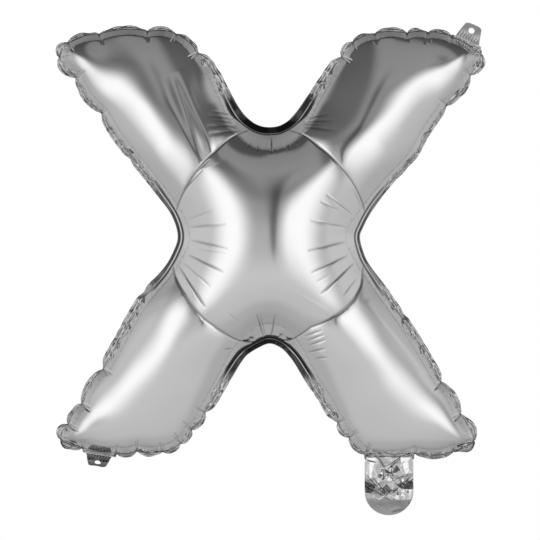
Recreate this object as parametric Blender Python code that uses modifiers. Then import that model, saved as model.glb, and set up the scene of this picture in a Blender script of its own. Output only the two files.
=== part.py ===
"""Letter X foil balloon, 35 cm tall and filled with air: two foil sheets welded round their edge, with
an inflation tail under one foot and a hanging tab at two corners.

Metres, +Z up, the letter's front faces -Y. The origin is the middle of the crossing, on the weld's plane.
"""

import math

import bmesh
import bpy
import numpy as np

MM = 0.001

# Thicknesses. The real film is 0.04 mm thick, and these are the thinnest walls that the solids keep
FOIL_WALL = 1.0 * MM
BORDER_THICKNESS = 0.6 * MM
TAB_THICKNESS = 0.6 * MM
TAIL_WALL = 0.6 * MM
SEAT_GAP = 0.3 * MM

# How far the air swells the sheets, as a factor on the root of the membrane's rise
BODY_SWELL = 0.70
TAIL_SWELL = 0.24
RIM_SETBACK = 1.0 * MM

# The crossing: four creases on one circle part the middle pillow from the arms
CREASE_RADIUS = 84.0 * MM
CREASE_DEPTH = 3.0 * MM
CREASE_REACH = 9.0 * MM

# The four crotches, where two arms meet
CROTCH_TOP = (0.0, 84.0)
CROTCH_RIGHT = (71.0, 0.0)
CROTCH_BOTTOM = (0.0, -83.5)
CROTCH_LEFT = (-72.0, 0.0)

# The weld of each arm, clockwise from the crotch where it starts: a smooth side, the pinches round the
# arm's end where the foil gathers, and a smooth side to the next crotch. Millimetres across and up. The
# corners are two of the pinches, and the crease meets the weld at the two places given last.
ARMS = {
    "upper_right": {
        "start": CROTCH_TOP,
        "side_out": ((10, 85.5), (19, 90.5), (27, 98.5), (35, 111), (43, 123.5), (51, 135.5)),
        "pinches": ((59.5, 147.2), (68.5, 159), (86.5, 166), (112.8, 166.4), (130, 166.9), (149.7, 163.3),
                    (173, 149.2), (164.4, 132.4), (145, 107.5)),
        "side_back": ((129.6, 85.4), (117.5, 64.5), (97, 42.5), (82, 23.5), (74, 9)),
        "corners": ((68.5, 159), (173, 149.2)),
        "crease": ((17.5, 89), (78, 21)),
    },
    "lower_right": {
        "start": CROTCH_RIGHT,
        "side_out": ((73.5, -12), (80, -26), (101, -56.5), (114, -75), (124, -91)),
        "pinches": ((140.6, -119.6), (156.2, -146), (167.1, -167.1), (150.8, -176.1), (119.3, -177.4),
                    (79.5, -178), (65.7, -164.4), (56.4, -152.4)),
        "side_back": ((44, -131), (34, -116), (22.5, -98.5), (12, -88)),
        "corners": ((167.1, -167.1), (79.5, -178)),
        "crease": ((79, -25), (15, -90)),
    },
    "lower_left": {
        "start": CROTCH_BOTTOM,
        "side_out": ((-12, -88), (-23.5, -96), (-33, -109), (-43.5, -127)),
        "pinches": ((-53.3, -144.2), (-64.4, -158.3), (-73.4, -169.3), (-87.8, -175.9), (-108.7, -175.6),
                    (-125.5, -177.1), (-153.8, -173), (-170.4, -166), (-164.7, -154.1), (-153.8, -137.4),
                    (-136.1, -108.7)),
        "side_back": ((-125, -89), (-109, -60), (-99, -46), (-86, -31), (-76.5, -15)),
        "corners": ((-73.4, -169.3), (-170.4, -166)),
        "crease": ((-15.5, -89.5), (-83, -27)),
    },
    "upper_left": {
        "start": CROTCH_LEFT,
        "side_out": ((-76.5, 17), (-87, 33), (-100, 50), (-123.5, 79)),
        "pinches": ((-137.5, 101.5), (-158.5, 130.5), (-171.5, 147), (-165, 158.5), (-139.5, 165.5),
                    (-100, 168), (-76.5, 166), (-59, 150.5)),
        "side_back": ((-47.5, 136), (-38.5, 119), (-28.5, 100), (-19, 90.5), (-10, 85.5)),
        "corners": ((-171.5, 147), (-76.5, 166)),
        "crease": ((-80, 22), (-17.5, 89)),
    },
}
ARM_ORDER = ("upper_right", "lower_right", "lower_left", "upper_left")

# The welded border outside the swollen body: wide in each lobe, narrow at each pinch
BORDER_WIDTH = 5.2 * MM
PINCH_WIDTH = 1.6 * MM
PINCH_REACH = 7.0 * MM
BORDER_LAP = 2.5 * MM
LOBE_BULGE = 0.07
WELD_STEP = 3.5 * MM
SEAT_REACH = 15.6 * MM
TAB_SEAT_MARGIN = 0.5 * MM
TAIL_SEAT_MARGIN = 2.0 * MM

# The hanging tabs, the same piece twice: a base on the border's edge and a hole for a thread
TAB_BASE = 21.0 * MM
TAB_TOP = 13.0 * MM
TAB_RISE = 15.5 * MM
TAB_CORNER = 3.5 * MM
TAB_SHOULDER = 1.0 * MM
TAB_FOOT = 2.5 * MM
TAB_HOLE_RADIUS = 2.5 * MM
TAB_HOLE_RISE = 9.5 * MM
UPPER_TAB_BASE = ((150.5, 165.5), (173.5, 155.5))
LOWER_TAB_BASE = ((-126.5, -181.0), (-153.0, -177.0))
UPPER_TAB_TILT = math.radians(-20)
LOWER_TAB_TILT = math.radians(-48)

# The inflation tail under the right foot, folding on a line across its root
TAIL_AXIS_HEIGHT = -183.0 * MM
TAIL_MIDDLE = 98.0 * MM
TAIL_ROOT_WIDTH = 37.0 * MM
TAIL_WIDTH = 40.0 * MM
TAIL_LENGTH = 45.8 * MM
TAIL_ROOT_GAP = 0.65 * MM
TAIL_NECK = 4.8 * MM

# How finely the sheets are divided
ACROSS = 10
ALONG = 13
CROTCH_CELLS = 4
TAIL_ACROSS = 8
TAIL_ALONG = 10


def clear_scene():
    """Take every object out of the open scene."""
    for thing in list(bpy.data.objects):
        bpy.data.objects.remove(thing, do_unlink=True)


def new_collection(name):
    """Add a collection to the scene."""
    group = bpy.data.collections.new(name)
    bpy.context.scene.collection.children.link(group)
    return group


def film_material(name, shade, roughness):
    """Metallised film, of one grey."""
    material = bpy.data.materials.new(name)
    material.use_nodes = True
    surface = material.node_tree.nodes["Principled BSDF"]
    surface.inputs["Base Color"].default_value = (shade, shade, shade, 1.0)
    surface.inputs["Metallic"].default_value = 1.0
    surface.inputs["Roughness"].default_value = roughness
    return material


def metres(points):
    """Points written in millimetres, as an array in metres."""
    return np.array(points, dtype=float) * MM


def spline_through(points, step):
    """A Catmull-Rom curve through the points, with samples about a step apart."""
    padded = np.vstack([2 * points[0] - points[1], points, 2 * points[-1] - points[-2]])
    samples = []
    for before, start, end, after in zip(padded, padded[1:], padded[2:], padded[3:]):
        count = max(1, round(np.linalg.norm(end - start) / step))
        for t in np.arange(count) / count:
            bend = 2 * before - 5 * start + 4 * end - after
            twist = 3 * (start - end) + after - before
            samples.append(0.5 * (2 * start + (end - before) * t + bend * t * t + twist * t ** 3))
    samples.append(points[-1])
    return np.array(samples)


def lobe(start, end, step):
    """The weld between two pinches: a shallow arc that bulges away from the arm."""
    chord = end - start
    outward = np.array([-chord[1], chord[0]])
    count = max(2, round(np.linalg.norm(chord) / step))
    t = (np.arange(1, count + 1) / count)[:, None]
    return start + chord * t + outward * (4 * LOBE_BULGE * t * (1 - t))


def arm_weld(name):
    """One arm's weld from crotch to crotch."""
    arm = ARMS[name]
    following = ARMS[ARM_ORDER[(ARM_ORDER.index(name) + 1) % len(ARM_ORDER)]]
    pinches = metres(arm["pinches"])
    side_out = spline_through(metres((arm["start"],) + arm["side_out"] + arm["pinches"][:1]), WELD_STEP)
    back_points = metres(arm["pinches"][-1:] + arm["side_back"] + (following["start"],))
    side_back = spline_through(back_points, WELD_STEP)
    lobes = [lobe(start, end, WELD_STEP) for start, end in zip(pinches, pinches[1:])]
    return np.vstack([side_out] + lobes + [side_back[1:]])


def arm_marks(name):
    """One arm's weld, and where on it lie the crease's start, the two corners and the crease's end."""
    weld = arm_weld(name)
    arm = ARMS[name]
    places = metres((arm["crease"][0],) + arm["corners"] + (arm["crease"][1],))
    return weld, [int(np.argmin(np.linalg.norm(weld - place, axis=1))) for place in places]


def run_of(curve):
    """How far along a curve each of its points lies, as a fraction."""
    lengths = np.concatenate([[0.0], np.cumsum(np.linalg.norm(np.diff(curve, axis=0), axis=1))])
    return lengths / lengths[-1]


def spread(curve, places):
    """Points on a curve at fractions of its length."""
    lengths = run_of(curve)
    return np.column_stack([np.interp(places, lengths, curve[:, axis]) for axis in (0, 1)])


def even_both_ends(count):
    """Fractions from 0 to 1 that crowd towards both ends, where a swollen sheet is steepest."""
    return (1 - np.cos(np.pi * np.arange(count + 1) / count)) / 2


def even_far_end(count):
    """Fractions from 0 to 1 that crowd towards the far end."""
    return np.sin(np.pi / 2 * np.arange(count + 1) / count)


def patch(near, far, left, right):
    """A grid of points between four edge curves, which meet at its corners."""
    u = ((run_of(near) + run_of(far)) / 2)[None, :, None]
    v = ((run_of(left) + run_of(right)) / 2)[:, None, None]
    ruled_v = near[None] * (1 - v) + far[None] * v
    ruled_u = left[:, None] * (1 - u) + right[:, None] * u
    corners = (near[0] * (1 - u) + near[-1] * u) * (1 - v) + (far[0] * (1 - u) + far[-1] * u) * v
    return ruled_v + ruled_u - corners


def crease_arc(start, end):
    """A crease between two points of the weld, on a circle round the crossing that eases to both."""
    angles = [math.atan2(point[1], point[0]) for point in (start, end)]
    turn = (angles[1] - angles[0] + math.pi) % (2 * math.pi) - math.pi
    t = even_both_ends(ACROSS)
    radius = CREASE_RADIUS + (np.linalg.norm(start) - CREASE_RADIUS) * (1 - t) ** 2
    radius += (np.linalg.norm(end) - CREASE_RADIUS) * t ** 2
    angle = angles[0] + turn * t
    return np.column_stack([radius * np.cos(angle), radius * np.sin(angle)])


def letter_patches():
    """The five grids of a sheet, the four arms and the middle pillow, which share their edges."""
    grids, creases, bends = [], [], []
    for name in ARM_ORDER:
        weld, (start, first, second, end) = arm_marks(name)
        next_weld, next_marks = arm_marks(ARM_ORDER[(ARM_ORDER.index(name) + 1) % len(ARM_ORDER)])
        crease = crease_arc(weld[start], weld[end])
        side_out = spread(weld[start:first + 1], even_far_end(ALONG))
        side_back = spread(weld[second:end + 1][::-1], even_far_end(ALONG))
        far_end = spread(weld[first:second + 1], even_both_ends(ACROSS))
        grids.append(patch(crease, far_end, side_out, side_back))
        creases.append(crease)
        crotch = np.vstack([weld[end:], next_weld[1:next_marks[0] + 1]])
        bends.append(spread(crotch, np.linspace(0, 1, CROTCH_CELLS + 1)))
    half = ACROSS // 2
    right, bottom, left, top = [np.vstack([crease[half:], bend[1:-1], following[:half + 1]])
                                for crease, bend, following in zip(creases, bends, creases[1:] + creases[:1])]
    grids.append(patch(top, bottom[::-1], left[::-1], right))
    return grids


def tail_patch():
    """The grid of the tail: a straight root, two sides and a round end, from its folding line down."""
    top = TAIL_AXIS_HEIGHT - TAIL_ROOT_GAP
    radius = TAIL_WIDTH / 2
    centre = TAIL_AXIS_HEIGHT - TAIL_LENGTH + radius
    root = [(TAIL_MIDDLE + side * TAIL_ROOT_WIDTH / 2, top) for side in (-1, 1)]
    arc = [(TAIL_MIDDLE - radius * math.cos(angle), centre - radius * math.sin(angle))
           for angle in np.radians(np.linspace(45, 135, 17))]
    sides = []
    for side, corner in zip((-1, 1), root):
        edge = [corner, (TAIL_MIDDLE + side * radius, top - TAIL_NECK)]
        for angle in np.radians((0, 11, 23, 34, 45)):
            edge.append((TAIL_MIDDLE + side * radius * math.cos(angle), centre - radius * math.sin(angle)))
        sides.append(spread(np.array(edge), even_far_end(TAIL_ALONG)))
    return patch(spread(np.array(root), even_both_ends(TAIL_ACROSS)),
                 spread(np.array(arc), even_both_ends(TAIL_ACROSS)), sides[0], sides[1])


def sheet_mesh(patches):
    """Join grids of points into one flat bmesh of quads in the XZ plane, facing -Y."""
    mesh = bmesh.new()
    for grid in patches:
        rows = [[mesh.verts.new((x, 0.0, z)) for x, z in row] for row in grid]
        for low, high in zip(rows, rows[1:]):
            for a, b, c, d in zip(low, low[1:], high[1:], high):
                mesh.faces.new((a, b, c, d))
    bmesh.ops.remove_doubles(mesh, verts=mesh.verts, dist=0.05 * MM)
    bmesh.ops.recalc_face_normals(mesh, faces=mesh.faces)
    if sum(face.normal.y for face in mesh.faces) > 0:
        bmesh.ops.reverse_faces(mesh, faces=mesh.faces)
    mesh.verts.index_update()
    return mesh


def membrane_rise(mesh):
    """How far a skin held at its rim stands off under even pressure, as the root of a membrane's sag."""
    count = len(mesh.verts)
    stiffness = np.zeros((count, count))
    load = np.zeros(count)
    for face in mesh.faces:
        corners = [vertex.index for vertex in face.verts]
        for triple in ((0, 1, 2), (0, 2, 3)):
            ids = [corners[k] for k in triple]
            points = np.array([(face.verts[k].co.x, face.verts[k].co.z) for k in triple])
            edges = points[[2, 0, 1]] - points[[1, 2, 0]]
            area = abs(edges[0][0] * edges[1][1] - edges[0][1] * edges[1][0]) / 2
            stiffness[np.ix_(ids, ids)] += edges @ edges.T / (4 * area)
            load[ids] += area / 3
    free = np.array([not vertex.is_boundary for vertex in mesh.verts])
    rise = np.zeros(count)
    rise[free] = np.linalg.solve(stiffness[np.ix_(free, free)], load[free])
    return np.sqrt(np.maximum(rise, 0))


def crease_dip(x, z, rise):
    """How far the creases round the crossing pull the skin in."""
    distance = math.hypot(x, z) - CREASE_RADIUS
    return CREASE_DEPTH * math.exp(-(distance / CREASE_REACH) ** 2) * min(1.0, rise / (4 * CREASE_DEPTH))


def add_sheet(name, mesh, side, wall, material, group):
    """A sheet as an object, its wall added inwards. The side is -1 for the front and 1 for the back."""
    if side > 0:
        bmesh.ops.reverse_faces(mesh, faces=mesh.faces)
    data = bpy.data.meshes.new(name)
    mesh.to_mesh(data)
    mesh.free()
    data.shade_smooth()
    thing = bpy.data.objects.new(name, data)
    group.objects.link(thing)
    wall_modifier = thing.modifiers.new("Film", "SOLIDIFY")
    wall_modifier.thickness = wall
    wall_modifier.offset = -1.0
    data.materials.append(material)
    return thing


def add_foil(name, side, material, group):
    """One swollen sheet of the letter."""
    mesh = sheet_mesh(letter_patches())
    for vertex, root in zip(list(mesh.verts), membrane_rise(mesh)):
        rise = BODY_SWELL * root
        stand_off = RIM_SETBACK + rise - crease_dip(vertex.co.x, vertex.co.z, rise)
        vertex.co.y = side * stand_off
    return add_sheet(name, mesh, side, FOIL_WALL, material, group)


def flat_curve(name, loops, thickness, group):
    """A flat plate from closed outlines, the later ones its holes, lying in its own XY plane."""
    curve = bpy.data.curves.new(name, "CURVE")
    curve.dimensions = "2D"
    curve.fill_mode = "BOTH"
    curve.extrude = thickness / 2
    curve.render_resolution_u = 0
    for loop in loops:
        spline = curve.splines.new("POLY")
        spline.points.add(len(loop) - 1)
        for point, (x, y) in zip(spline.points, loop):
            point.co = (x, y, 0.0, 1.0)
        spline.use_cyclic_u = True
    thing = bpy.data.objects.new(name, curve)
    group.objects.link(thing)
    return thing


def weld_loop():
    """The whole weld, clockwise, with no point twice."""
    return np.vstack([arm_weld(name)[:-1] for name in ARM_ORDER])


def outward_normals(loop):
    """Unit normals of a clockwise loop, pointing out."""
    along = np.roll(loop, -1, axis=0) - np.roll(loop, 1, axis=0)
    normals = np.column_stack([-along[:, 1], along[:, 0]])
    return normals / np.linalg.norm(normals, axis=1)[:, None]


def border_widths(loop):
    """The border's width at each point of the weld, which narrows to each pinch."""
    pinches = metres([point for name in ARM_ORDER for point in ARMS[name]["pinches"]])
    nearest = np.linalg.norm(loop[:, None] - pinches[None], axis=2).min(axis=1)
    ease = np.clip(nearest / PINCH_REACH, 0, 1)
    return PINCH_WIDTH + (BORDER_WIDTH - PINCH_WIDTH) * ease * ease * (3 - 2 * ease)


def seat_edge(loop, first, last, inside):
    """Bring the border's edge to a straight seat between two points, where a tab or the tail leaves it."""
    start, end = np.array(first), np.array(last)
    chord = (end - start) / np.linalg.norm(end - start)
    outward = np.array([-chord[1], chord[0]])
    seated = loop.copy()
    for index, point in enumerate(loop):
        along = (point - start) @ chord
        beside_seat = -inside <= along <= np.linalg.norm(end - start) + inside
        if beside_seat and abs((point - start) @ outward) < SEAT_REACH:
            seated[index] = start + chord * along
    return seated


def add_border(material, group):
    """The welded margin round the letter, flat between the two sheets."""
    loop = weld_loop()
    normals = outward_normals(loop)
    outer = loop + normals * border_widths(loop)[:, None]
    tail_root = [(TAIL_MIDDLE + side * TAIL_ROOT_WIDTH / 2, TAIL_AXIS_HEIGHT) for side in (1, -1)]
    outer = seat_edge(outer, *tail_root, TAIL_SEAT_MARGIN)
    for base in (UPPER_TAB_BASE, LOWER_TAB_BASE):
        outer = seat_edge(outer, *metres(base), TAB_SEAT_MARGIN)
    inner = loop - normals * BORDER_LAP
    border = flat_curve("seam_border", (outer, inner[::-1]), BORDER_THICKNESS, group)
    border.rotation_euler.x = math.pi / 2
    border.data.materials.append(material)
    return border


def rounded_tab():
    """The tab's outline above its base line, with two round corners."""
    half_base, half_top = TAB_BASE / 2, TAB_TOP / 2
    corner_height = TAB_RISE - TAB_CORNER
    right = [(half_base, SEAT_GAP), (half_base - TAB_SHOULDER, TAB_FOOT)]
    for angle in np.radians(np.linspace(0, 90, 7)):
        right.append((half_top - TAB_CORNER + (TAB_CORNER + TAB_SHOULDER) * math.cos(angle),
                      corner_height + TAB_CORNER * math.sin(angle)))
    left = [(-x, y) for x, y in reversed(right)]
    return right + left


def add_tab(name, base, tilt, material, group):
    """A hanging tab, standing on its base line and tilted about it."""
    hole = [(TAB_HOLE_RADIUS * math.cos(angle), TAB_HOLE_RISE + TAB_HOLE_RADIUS * math.sin(angle))
            for angle in np.linspace(0, 2 * math.pi, 24, endpoint=False)]
    tab = flat_curve(name, (rounded_tab(), hole[::-1]), TAB_THICKNESS, group)
    left, right = metres(base)
    seat = (left + right) / 2
    run = right - left
    tab.rotation_mode = "XYZ"
    tab.rotation_euler = (math.pi / 2 + tilt, -math.atan2(run[1], run[0]), 0.0)
    tab.location = (seat[0], 0.0, seat[1])
    tab.data.materials.append(material)
    return tab


def add_tail(material, group):
    """The inflation tail: two films under the foot, turning with an empty on their folding line."""
    pivot = bpy.data.objects.new("tail_fold_pivot", None)
    pivot.location = (TAIL_MIDDLE, 0.0, TAIL_AXIS_HEIGHT)
    group.objects.link(pivot)
    for name, side in (("tail_front_film", -1), ("tail_back_film", 1)):
        mesh = sheet_mesh([tail_patch()])
        for vertex, root in zip(list(mesh.verts), membrane_rise(mesh)):
            vertex.co.y = side * (SEAT_GAP / 2 + TAIL_WALL + TAIL_SWELL * root)
            vertex.co.x -= TAIL_MIDDLE
            vertex.co.z -= TAIL_AXIS_HEIGHT
        film = add_sheet(name, mesh, side, TAIL_WALL, material, group)
        film.parent = pivot


def main():
    """Build the balloon."""
    clear_scene()
    group = new_collection("letter_x_foil_balloon")
    foil = film_material("silver_foil", 0.82, 0.12)
    welded = film_material("welded_foil", 0.62, 0.28)
    add_foil("front_foil", -1, foil, group)
    add_foil("back_foil", 1, foil, group)
    add_border(welded, group)
    add_tab("hang_tab_upper", UPPER_TAB_BASE, UPPER_TAB_TILT, welded, group)
    add_tab("hang_tab_lower", LOWER_TAB_BASE, LOWER_TAB_TILT, welded, group)
    add_tail(foil, group)


main()
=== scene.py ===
"""The looks of a silver letter X foil balloon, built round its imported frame. Metres, +Z up, front at -Y."""

import math

import bmesh
import bpy
import numpy as np
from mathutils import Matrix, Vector
from mathutils.geometry import delaunay_2d_cdt


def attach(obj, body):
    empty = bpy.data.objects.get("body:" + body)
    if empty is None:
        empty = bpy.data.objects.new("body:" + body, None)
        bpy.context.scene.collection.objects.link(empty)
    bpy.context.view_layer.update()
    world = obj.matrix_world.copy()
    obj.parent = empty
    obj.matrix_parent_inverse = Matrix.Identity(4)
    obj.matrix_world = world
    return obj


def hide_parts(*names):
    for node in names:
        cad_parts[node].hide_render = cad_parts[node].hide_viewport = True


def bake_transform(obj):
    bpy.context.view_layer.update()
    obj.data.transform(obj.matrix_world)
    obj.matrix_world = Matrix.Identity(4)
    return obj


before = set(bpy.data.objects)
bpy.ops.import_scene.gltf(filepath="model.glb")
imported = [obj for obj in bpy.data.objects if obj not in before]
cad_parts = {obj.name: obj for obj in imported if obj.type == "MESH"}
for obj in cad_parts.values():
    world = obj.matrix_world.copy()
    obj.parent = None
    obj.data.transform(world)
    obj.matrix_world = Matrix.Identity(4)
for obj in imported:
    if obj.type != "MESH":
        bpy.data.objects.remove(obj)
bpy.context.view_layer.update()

MM = 0.001

# The photograph's frame: where the origin lies in it, and how much a pixel covers on the plane of the weld
ORIGIN_PIXEL = (269.5, 236.5)
PIXEL = 0.82 * MM
IMAGE_SIZE = 540
IMAGE_MIDDLE = (270.0, 270.0)
CAMERA_DISTANCE = 3.2
SENSOR = 0.036

# The film, and how the air swells the sheets
FILM = 0.12 * MM
BODY_SWELL = 0.70
END_SWELL = 0.44
TAPER_FROM = 70.0 * MM
TAPER_TO = 235.0 * MM

# How much higher each arm stands on its outer side, from where along it, and its half width
ARM_LEANS = {"upper_right": 0.13, "lower_right": 0.07, "lower_left": 0.05, "upper_left": 0.14}
ARM_LEAN_FROM = (85.0 * MM, 120.0 * MM)
ARM_HALF_WIDTH = 45.0 * MM

# The arms' outer tips in millimetres, which stand fuller and have a little painted shade on them
TIPS = ((173, 149.2), (167.1, -167.1), (-170.4, -166), (-171.5, 147))
TIP_SWELL = 0.85
TIP_SHADE = 0.22
TIP_REACH = 26.0 * MM

# The four crotches and the weld of each arm, as in the solids: millimetres across and up from the origin
CROTCH_TOP = (0.0, 84.0)
CROTCH_RIGHT = (71.0, 0.0)
CROTCH_BOTTOM = (0.0, -83.5)
CROTCH_LEFT = (-72.0, 0.0)
ARMS = {
    "upper_right": {
        "start": CROTCH_TOP,
        "side_out": ((10, 85.5), (19, 90.5), (27, 98.5), (35, 111), (43, 123.5), (51, 135.5)),
        "pinches": ((59.5, 147.2), (68.5, 159), (86.5, 166), (112.8, 166.4), (130, 166.9), (149.7, 163.3),
                    (173, 149.2), (164.4, 132.4), (145, 107.5)),
        "side_back": ((129.6, 85.4), (117.5, 64.5), (97, 42.5), (82, 23.5), (74, 9)),
        "corners": ((68.5, 159), (173, 149.2)),
        "crease": ((17.5, 89), (78, 21)),
    },
    "lower_right": {
        "start": CROTCH_RIGHT,
        "side_out": ((73.5, -12), (80, -26), (101, -56.5), (114, -75), (124, -91)),
        "pinches": ((140.6, -119.6), (156.2, -146), (167.1, -167.1), (150.8, -176.1), (119.3, -177.4),
                    (79.5, -178), (65.7, -164.4), (56.4, -152.4)),
        "side_back": ((44, -131), (34, -116), (22.5, -98.5), (12, -88)),
        "corners": ((167.1, -167.1), (79.5, -178)),
        "crease": ((79, -25), (15, -90)),
    },
    "lower_left": {
        "start": CROTCH_BOTTOM,
        "side_out": ((-12, -88), (-23.5, -96), (-33, -109), (-43.5, -127)),
        "pinches": ((-53.3, -144.2), (-64.4, -158.3), (-73.4, -169.3), (-87.8, -175.9), (-108.7, -175.6),
                    (-125.5, -177.1), (-153.8, -173), (-170.4, -166), (-164.7, -154.1), (-153.8, -137.4),
                    (-136.1, -108.7)),
        "side_back": ((-125, -89), (-109, -60), (-99, -46), (-86, -31), (-76.5, -15)),
        "corners": ((-73.4, -169.3), (-170.4, -166)),
        "crease": ((-15.5, -89.5), (-83, -27)),
    },
    "upper_left": {
        "start": CROTCH_LEFT,
        "side_out": ((-76.5, 17), (-87, 33), (-100, 50), (-123.5, 79)),
        "pinches": ((-137.5, 101.5), (-158.5, 130.5), (-171.5, 147), (-165, 158.5), (-139.5, 165.5),
                    (-100, 168), (-76.5, 166), (-59, 150.5)),
        "side_back": ((-47.5, 136), (-38.5, 119), (-28.5, 100), (-19, 90.5), (-10, 85.5)),
        "corners": ((-171.5, 147), (-76.5, 166)),
        "crease": ((-80, 22), (-17.5, 89)),
    },
}
ARM_ORDER = ("upper_right", "lower_right", "lower_left", "upper_left")
LOBE_BULGE = 0.07
WELD_STEP = 0.6 * MM

# The grid of a sheet: rings beside the weld, in millimetres from it, then cells across, along and at a crotch
RINGS = (0.5, 1.1, 1.8, 2.6, 3.5, 4.4, 5.3, 6.1, 6.9, 7.8, 8.8)
MARCH_STEP = 0.25 * MM
MARCH_EASE = 0.12
# A cell is folded over where a corner's turn, in square metres, is less than this
FOLD_LIMIT = 1e-9
FRONT_CELLS = ((72, 116, 40))
BACK_CELLS = ((64, 104, 36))

# The straight strip beside the weld. At each crotch it is wider, by so many millimetres over such a reach
STRIP_WIDTH = 5.0 * MM
STRIP_RAGGED = 0.035
# Painted shade: a broken dark line along the strip's inner edge
STRIP_EDGE_SHADE = 0.35
STRIP_SOFTNESS = 0.06
STRIP_SOFTNESS_TOP = 0.22
STRIP_DIP_BOTTOM = 0.14
CROTCH_STRIPS = (
    (CROTCH_TOP, 10.0, 26.0), (CROTCH_RIGHT, 5.0, 16.0), (CROTCH_BOTTOM, 8.5, 28.0), (CROTCH_LEFT, 2.0, 16.0),
)

# The creases round the crossing, in the photograph's pixels, clockwise from the top crotch
CREASE_RADIUS = 84.0 * MM
CREASES = (
    (291, 131), (305, 137), (318, 147), (330, 157), (340, 168), (350, 180), (358, 194), (363, 206),
    (362, 271), (360, 285), (352, 300), (341, 311), (333, 316), (310, 327), (292, 339), (248, 342),
    (236, 339), (215, 326), (204, 318), (186, 294), (175, 273), (177, 209), (188, 187), (200, 168),
    (215, 153), (233, 138), (250, 130),
)
CREASE_KINK = 2.2 * MM
CREASE_SOFT_INSIDE = 13.0 * MM
CREASE_SOFT_OUTSIDE = 11.0 * MM
CREASE_ROUND = 0.4 * MM
CREASE_LINE = 0.40 * MM
CREASE_LINE_WIDTH = 0.85 * MM
# Painted shade along the crease lines, and its width
CREASE_SHADE = 0.75
CREASE_SHADE_WIDTH = 0.55 * MM

# The paired short creases that run in from each pinch
PINCH_DEPTH = 1.1 * MM
PINCH_LENGTH = 7.5 * MM
PINCH_HALF_WIDTH = 0.75 * MM
PINCH_SPLIT = 1.5 * MM
# Painted shade along the pinch creases, and its width
PINCH_SHADE = 0.6
PINCH_SHADE_WIDTH = 0.35 * MM
PINCH_REACH = 22.0 * MM

# Folds in the film, each from its start to its end in the photograph's pixels, with its depth and its half
# width in millimetres: those that fan out of the crotches, those that comb the sides of the bottom one, the
# second lines beside the creases, and at the end three broad waves
FOLDS = (
    ((189, 228), (226, 224.5), 0.30, 0.9), ((190, 240), (228, 249), 0.34, 1.0),
    ((197, 249), (226, 253.5), 0.12, 0.8), ((188, 254), (225, 273), 0.40, 0.9),
    ((184, 262), (211, 287), 0.20, 0.9), ((179, 265), (206, 308), 0.48, 0.9),
    ((188, 220), (213, 211), 0.10, 1.2), ((326, 195), (352, 215), 0.26, 0.8),
    ((320, 202), (339, 211), 0.18, 0.9), ((310, 221), (348, 228), 0.26, 0.8),
    ((308, 251), (346, 242), 0.40, 1.0), ((311, 273), (348, 255), 0.44, 0.9),
    ((320, 295), (354, 262), 0.48, 0.9), ((342, 296), (356, 278), 0.24, 0.9),
    ((316, 282), (330, 274), 0.14, 1.0), ((256.5, 313), (264, 338), 0.38, 0.8),
    ((260, 313), (266, 338), 0.20, 0.7), ((275, 314), (271, 338), 0.38, 0.8),
    ((248, 336), (255, 340), 0.2, 0.7), ((284, 332), (277, 339), 0.2, 0.7),
    ((228, 312), (239, 322), 0.12, 0.6), ((271.5, 137), (271.5, 154), 0.55, 1.0),
    ((258.5, 145), (257, 153), 0.35, 0.7), ((284, 139), (287, 151), -0.30, 0.7),
    ((289.5, 145), (288, 151), 0.30, 0.6), ((251, 142), (247, 150), 0.22, 0.6),
    ((297, 141), (299, 147), 0.22, 0.6), ((303, 336), (322, 330), 0.34, 0.8),
    ((306, 340.5), (324, 334), 0.34, 0.8), ((308, 345), (326, 339), 0.34, 0.8),
    ((307, 352), (326, 348), 0.34, 0.8), ((314, 358), (327, 357), 0.28, 0.8),
    ((224, 349), (232, 348), 0.3, 0.8), ((203, 170), (183, 193), 0.40, 0.7),
    ((196, 171), (180, 198), 0.36, 0.7), ((210, 160), (198, 172), 0.3, 0.6),
    ((352, 189), (362, 209), 0.24, 0.6), ((290, 289), (331, 314), -0.10, 1.6),
    ((170, 75), (206, 168), 0.55, 4.2), ((180, 70), (220, 164), -0.50, 4.6),
    ((366, 300), (425, 372), -0.35, 4.0),
)
# The short folds that comb the sides of the top crotch, written in the same way, with shade painted along
# them
COMBS = (
    ((212, 112), (229, 115), 0.14, 1.3), ((207, 117), (231, 119.5), 0.14, 1.5),
    ((210, 121), (233, 123.5), 0.12, 1.2), ((207, 127.5), (238, 127), 0.14, 1.6),
    ((216, 124), (239, 129.5), 0.12, 1.2), ((209, 135), (243, 131.5), 0.14, 1.7),
    ((329, 115), (309, 119), 0.14, 1.4), ((333, 121.5), (306, 123), 0.12, 1.3),
    ((322, 126), (303, 125), 0.12, 1.2), ((337, 132), (303, 128), 0.14, 1.6),
)
COMB_SHADE = 0.85
# Folds wider than this, in millimetres, are slow waves of the film, which get no painted shade
WIDE_FOLD = 2.0
# A fold of this depth in millimetres is painted fully dark, over this share of its half width
PAINTED_DARK_FOLD = 0.5
PAINTED_DARK_FOLD_WIDTH = 0.6
# How many of a fold's half widths the fine grid covers on each side of it
FOLD_MARGIN = 2.2

# Painted shade along the rim of the top and bottom notches
NOTCH_RIM_SHADE = 0.95
NOTCH_RIM = (1.5 * MM, 0.9 * MM)
NOTCH_RIM_REACH = (52.0 * MM, 38.0 * MM)

# The film's long, slow unevenness, which is weaker over the middle
WAVE_LENGTH = 45.0 * MM
WAVE_HEIGHT = 0.30 * MM
WAVE_COUNT = 7
WAVE_SLACK = 0.25

# The welded border outside the sheets. Its bands run beside the notches, and its petals round the arms' ends
BORDER_COUNT, BORDER_CELLS = ((2400, 15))
BORDER_LAP = 1.2 * MM
BAND_WIDTH = 5.5 * MM
BAND_SPAN = 60.0 * MM
# How wide the band is on each arm's outer side, in millimetres
OUTER_BANDS = {"upper_right": 2.7, "lower_right": 4.5, "lower_left": 5.0, "upper_left": 4.0}
PETAL_WIDTH = 3.9 * MM
TIP_PETAL = 3.2 * MM
PINCH_WIDTH = 0.5 * MM
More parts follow.
